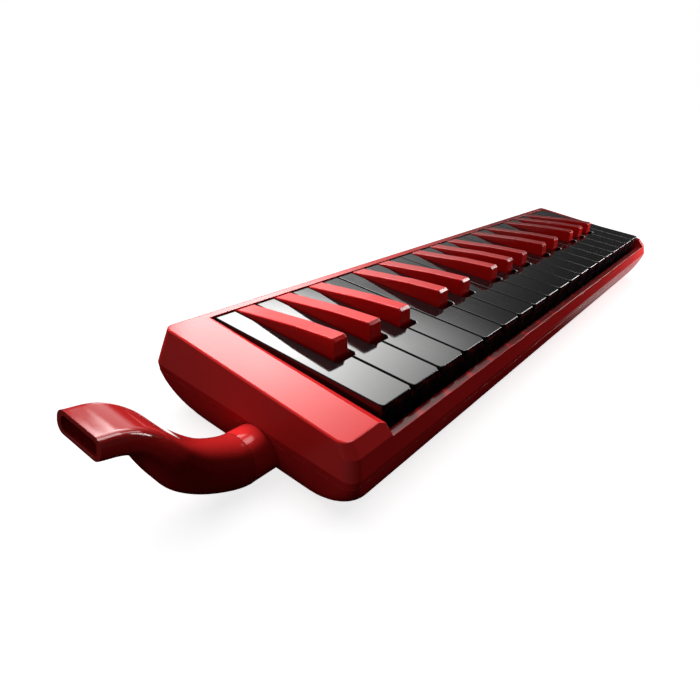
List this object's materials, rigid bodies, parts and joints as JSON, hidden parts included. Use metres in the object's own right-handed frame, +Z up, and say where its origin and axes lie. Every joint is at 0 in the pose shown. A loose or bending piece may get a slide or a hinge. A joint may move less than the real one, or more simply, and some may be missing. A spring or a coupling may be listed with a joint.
{
  "type": "melodica",
  "caption": "Hand-held free-reed wind keyboard: glossy shell, hinged natural and sharp keys, reed chamber and a curved mouthpiece that pulls out and turns.",
  "frame": {"origin": "centre of the flat underside of the casing", "axes": "+X along the keyboard towards the high notes, -X end carries the mouthpiece, +Y away from the player, +Z up through the key tops"},
  "size_m": [0.4879, 0.105, 0.0551],
  "materials": {
    "casing": "glossy moulded red",
    "natural_key": "glossy black",
    "sharp_key": "glossy moulded red",
    "mouthpiece": "glossy moulded red",
    "chassis": "matte black",
    "chamber": "satin",
    "seal": "soft rubber",
    "felt": "wool felt",
    "reed_plate": "milled",
    "reed": "ground",
    "screw": "zinc plated",
    "spring": "spring steel"
  },
  "bodies": {
    "body": {"upper_casing": "casing", "lower_casing": "casing", "inlet_neck": "casing", "inlet_seal": "seal", "key_chassis": "chassis", "chamber_gasket": "seal", "air_chamber_cover": "chamber", "reed_plate_low": "reed_plate", "reed_plate_high": "reed_plate", "reeds_low": "reed", "reeds_high": "reed", "reed_plate_screws": "screw", "key_axle_rod": "spring", "key_spring_comb": "spring", "spring_comb_screws": "screw", "front_stop_felt": "felt", "sharp_stop_felt": "felt", "chamber_screws": "screw", "casing_screws": "screw", "drain_spring": "spring"},
    "blowpipe_collar": {"mouthpiece_seal_ring": "seal"},
    "blowpipe": {"mouthpiece": "mouthpiece"},
    "drain_valve": {"drain_button": "casing", "drain_valve_seal": "seal"},
    "key_f3": {"key_f3": "natural_key"},
    "key_f3_sharp": {"key_f3_sharp": "sharp_key"},
    "key_g3": {"key_g3": "natural_key"},
    "key_g3_sharp": {"key_g3_sharp": "sharp_key"},
    "key_a3": {"key_a3": "natural_key"},
    "key_a3_sharp": {"key_a3_sharp": "sharp_key"},
    "key_b3": {"key_b3": "natural_key"},
    "key_c4": {"key_c4": "natural_key"},
    "key_c4_sharp": {"key_c4_sharp": "sharp_key"},
    "key_d4": {"key_d4": "natural_key"},
    "key_d4_sharp": {"key_d4_sharp": "sharp_key"},
    "key_e4": {"key_e4": "natural_key"},
    "key_f4": {"key_f4": "natural_key"},
    "key_f4_sharp": {"key_f4_sharp": "sharp_key"},
    "key_g4": {"key_g4": "natural_key"},
    "key_g4_sharp": {"key_g4_sharp": "sharp_key"},
    "key_a4": {"key_a4": "natural_key"},
    "key_a4_sharp": {"key_a4_sharp": "sharp_key"},
    "key_b4": {"key_b4": "natural_key"},
    "key_c5": {"key_c5": "natural_key"},
    "key_c5_sharp": {"key_c5_sharp": "sharp_key"},
    "key_d5": {"key_d5": "natural_key"},
    "key_d5_sharp": {"key_d5_sharp": "sharp_key"},
    "key_e5": {"key_e5": "natural_key"},
    "key_f5": {"key_f5": "natural_key"},
    "key_f5_sharp": {"key_f5_sharp": "sharp_key"},
    "key_g5": {"key_g5": "natural_key"},
    "key_g5_sharp": {"key_g5_sharp": "sharp_key"},
    "key_a5": {"key_a5": "natural_key"},
    "key_a5_sharp": {"key_a5_sharp": "sharp_key"},
    "key_b5": {"key_b5": "natural_key"},
    "key_c6": {"key_c6": "natural_key"}
  },
  "joints": [
    {"name": "blowpipe_pull", "type": "slide", "parent": "body", "child": "blowpipe_collar", "axis": [-1, 0, 0], "range_m": [0, 0.014]},
    {"name": "blowpipe_turn", "type": "hinge", "parent": "blowpipe_collar", "child": "blowpipe", "pos_m": [-0.2225, -0.0082, 0.0136], "axis": [1, 0, 0], "range_deg": [-90, 90]},
    {"name": "drain_press", "type": "slide", "parent": "body", "child": "drain_valve", "axis": [0, -1, 0], "range_m": [0, 0.003], "stiffness_N_per_m": 400, "springref_m": -0.002, "deforming": ["drain_spring"]},
    {"name": "press_f3", "type": "hinge", "parent": "body", "child": "key_f3", "pos_m": [0, 0.018, 0.0265], "axis": [1, 0, 0], "range_deg": [0, 4.2], "stiffness_Nm_per_rad": 0.12, "springref_deg": -14.32, "deforming": ["key_spring_comb"]},
    {"name": "press_f3_sharp", "type": "hinge", "parent": "body", "child": "key_f3_sharp", "pos_m": [0, 0.018, 0.0265], "axis": [1, 0, 0], "range_deg": [0, 4.8], "stiffness_Nm_per_rad": 0.12, "springref_deg": -14.32, "deforming": ["key_spring_comb"]},
    {"name": "press_g3", "type": "hinge", "parent": "body", "child": "key_g3", "pos_m": [0, 0.018, 0.0265], "axis": [1, 0, 0], "range_deg": [0, 4.2], "stiffness_Nm_per_rad": 0.12, "springref_deg": -14.32, "deforming": ["key_spring_comb"]},
    {"name": "press_g3_sharp", "type": "hinge", "parent": "body", "child": "key_g3_sharp", "pos_m": [0, 0.018, 0.0265], "axis": [1, 0, 0], "range_deg": [0, 4.8], "stiffness_Nm_per_rad": 0.12, "springref_deg": -14.32, "deforming": ["key_spring_comb"]},
    {"name": "press_a3", "type": "hinge", "parent": "body", "child": "key_a3", "pos_m": [0, 0.018, 0.0265], "axis": [1, 0, 0], "range_deg": [0, 4.2], "stiffness_Nm_per_rad": 0.12, "springref_deg": -14.32, "deforming": ["key_spring_comb"]},
    {"name": "press_a3_sharp", "type": "hinge", "parent": "body", "child": "key_a3_sharp", "pos_m": [0, 0.018, 0.0265], "axis": [1, 0, 0], "range_deg": [0, 4.8], "stiffness_Nm_per_rad": 0.12, "springref_deg": -14.32, "deforming": ["key_spring_comb"]},
    {"name": "press_b3", "type": "hinge", "parent": "body", "child": "key_b3", "pos_m": [0, 0.018, 0.0265], "axis": [1, 0, 0], "range_deg": [0, 4.2], "stiffness_Nm_per_rad": 0.12, "springref_deg": -14.32, "deforming": ["key_spring_comb"]},
    {"name": "press_c4", "type": "hinge", "parent": "body", "child": "key_c4", "pos_m": [0, 0.018, 0.0265], "axis": [1, 0, 0], "range_deg": [0, 4.2], "stiffness_Nm_per_rad": 0.12, "springref_deg": -14.32, "deforming": ["key_spring_comb"]},
    {"name": "press_c4_sharp", "type": "hinge", "parent": "body", "child": "key_c4_sharp", "pos_m": [0, 0.018, 0.0265], "axis": [1, 0, 0], "range_deg": [0, 4.8], "stiffness_Nm_per_rad": 0.12, "springref_deg": -14.32, "deforming": ["key_spring_comb"]},
    {"name": "press_d4", "type": "hinge", "parent": "body", "child": "key_d4", "pos_m": [0, 0.018, 0.0265], "axis": [1, 0, 0], "range_deg": [0, 4.2], "stiffness_Nm_per_rad": 0.12, "springref_deg": -14.32, "deforming": ["key_spring_comb"]},
    {"name": "press_d4_sharp", "type": "hinge", "parent": "body", "child": "key_d4_sharp", "pos_m": [0, 0.018, 0.0265], "axis": [1, 0, 0], "range_deg": [0, 4.8], "stiffness_Nm_per_rad": 0.12, "springref_deg": -14.32, "deforming": ["key_spring_comb"]},
    {"name": "press_e4", "type": "hinge", "parent": "body", "child": "key_e4", "pos_m": [0, 0.018, 0.0265], "axis": [1, 0, 0], "range_deg": [0, 4.2], "stiffness_Nm_per_rad": 0.12, "springref_deg": -14.32, "deforming": ["key_spring_comb"]},
    {"name": "press_f4", "type": "hinge", "parent": "body", "child": "key_f4", "pos_m": [0, 0.018, 0.0265], "axis": [1, 0, 0], "range_deg": [0, 4.2], "stiffness_Nm_per_rad": 0.12, "springref_deg": -14.32, "deforming": ["key_spring_comb"]},
    {"name": "press_f4_sharp", "type": "hinge", "parent": "body", "child": "key_f4_sharp", "pos_m": [0, 0.018, 0.0265], "axis": [1, 0, 0], "range_deg": [0, 4.8], "stiffness_Nm_per_rad": 0.12, "springref_deg": -14.32, "deforming": ["key_spring_comb"]},
    {"name": "press_g4", "type": "hinge", "parent": "body", "child": "key_g4", "pos_m": [0, 0.018, 0.0265], "axis": [1, 0, 0], "range_deg": [0, 4.2], "stiffness_Nm_per_rad": 0.12, "springref_deg": -14.32, "deforming": ["key_spring_comb"]},
    {"name": "press_g4_sharp", "type": "hinge", "parent": "body", "child": "key_g4_sharp", "pos_m": [0, 0.018, 0.0265], "axis": [1, 0, 0], "range_deg": [0, 4.8], "stiffness_Nm_per_rad": 0.12, "springref_deg": -14.32, "deforming": ["key_spring_comb"]},
    {"name": "press_a4", "type": "hinge", "parent": "body", "child": "key_a4", "pos_m": [0, 0.018, 0.0265], "axis": [1, 0, 0], "range_deg": [0, 4.2], "stiffness_Nm_per_rad": 0.12, "springref_deg": -14.32, "deforming": ["key_spring_comb"]},
    {"name": "press_a4_sharp", "type": "hinge", "parent": "body", "child": "key_a4_sharp", "pos_m": [0, 0.018, 0.0265], "axis": [1, 0, 0], "range_deg": [0, 4.8], "stiffness_Nm_per_rad": 0.12, "springref_deg": -14.32, "deforming": ["key_spring_comb"]},
    {"name": "press_b4", "type": "hinge", "parent": "body", "child": "key_b4", "pos_m": [0, 0.018, 0.0265], "axis": [1, 0, 0], "range_deg": [0, 4.2], "stiffness_Nm_per_rad": 0.12, "springref_deg": -14.32, "deforming": ["key_spring_comb"]},
    {"name": "press_c5", "type": "hinge", "parent": "body", "child": "key_c5", "pos_m": [0, 0.018, 0.0265], "axis": [1, 0, 0], "range_deg": [0, 4.2], "stiffness_Nm_per_rad": 0.12, "springref_deg": -14.32, "deforming": ["key_spring_comb"]},
    {"name": "press_c5_sharp", "type": "hinge", "parent": "body", "child": "key_c5_sharp", "pos_m": [0, 0.018, 0.0265], "axis": [1, 0, 0], "range_deg": [0, 4.8], "stiffness_Nm_per_rad": 0.12, "springref_deg": -14.32, "deforming": ["key_spring_comb"]},
    {"name": "press_d5", "type": "hinge", "parent": "body", "child": "key_d5", "pos_m": [0, 0.018, 0.0265], "axis": [1, 0, 0], "range_deg": [0, 4.2], "stiffness_Nm_per_rad": 0.12, "springref_deg": -14.32, "deforming": ["key_spring_comb"]},
    {"name": "press_d5_sharp", "type": "hinge", "parent": "body", "child": "key_d5_sharp", "pos_m": [0, 0.018, 0.0265], "axis": [1, 0, 0], "range_deg": [0, 4.8], "stiffness_Nm_per_rad": 0.12, "springref_deg": -14.32, "deforming": ["key_spring_comb"]},
    {"name": "press_e5", "type": "hinge", "parent": "body", "child": "key_e5", "pos_m": [0, 0.018, 0.0265], "axis": [1, 0, 0], "range_deg": [0, 4.2], "stiffness_Nm_per_rad": 0.12, "springref_deg": -14.32, "deforming": ["key_spring_comb"]},
    {"name": "press_f5", "type": "hinge", "parent": "body", "child": "key_f5", "pos_m": [0, 0.018, 0.0265], "axis": [1, 0, 0], "range_deg": [0, 4.2], "stiffness_Nm_per_rad": 0.12, "springref_deg": -14.32, "deforming": ["key_spring_comb"]},
    {"name": "press_f5_sharp", "type": "hinge", "parent": "body", "child": "key_f5_sharp", "pos_m": [0, 0.018, 0.0265], "axis": [1, 0, 0], "range_deg": [0, 4.8], "stiffness_Nm_per_rad": 0.12, "springref_deg": -14.32, "deforming": ["key_spring_comb"]},
    {"name": "press_g5", "type": "hinge", "parent": "body", "child": "key_g5", "pos_m": [0, 0.018, 0.0265], "axis": [1, 0, 0], "range_deg": [0, 4.2], "stiffness_Nm_per_rad": 0.12, "springref_deg": -14.32, "deforming": ["key_spring_comb"]},
    {"name": "press_g5_sharp", "type": "hinge", "parent": "body", "child": "key_g5_sharp", "pos_m": [0, 0.018, 0.0265], "axis": [1, 0, 0], "range_deg": [0, 4.8], "stiffness_Nm_per_rad": 0.12, "springref_deg": -14.32, "deforming": ["key_spring_comb"]},
    {"name": "press_a5", "type": "hinge", "parent": "body", "child": "key_a5", "pos_m": [0, 0.018, 0.0265], "axis": [1, 0, 0], "range_deg": [0, 4.2], "stiffness_Nm_per_rad": 0.12, "springref_deg": -14.32, "deforming": ["key_spring_comb"]},
    {"name": "press_a5_sharp", "type": "hinge", "parent": "body", "child": "key_a5_sharp", "pos_m": [0, 0.018, 0.0265], "axis": [1, 0, 0], "range_deg": [0, 4.8], "stiffness_Nm_per_rad": 0.12, "springref_deg": -14.32, "deforming": ["key_spring_comb"]},
    {"name": "press_b5", "type": "hinge", "parent": "body", "child": "key_b5", "pos_m": [0, 0.018, 0.0265], "axis": [1, 0, 0], "range_deg": [0, 4.2], "stiffness_Nm_per_rad": 0.12, "springref_deg": -14.32, "deforming": ["key_spring_comb"]},
    {"name": "press_c6", "type": "hinge", "parent": "body", "child": "key_c6", "pos_m": [0, 0.018, 0.0265], "axis": [1, 0, 0], "range_deg": [0, 4.2], "stiffness_Nm_per_rad": 0.12, "springref_deg": -14.32, "deforming": ["key_spring_comb"]}
  ]
}
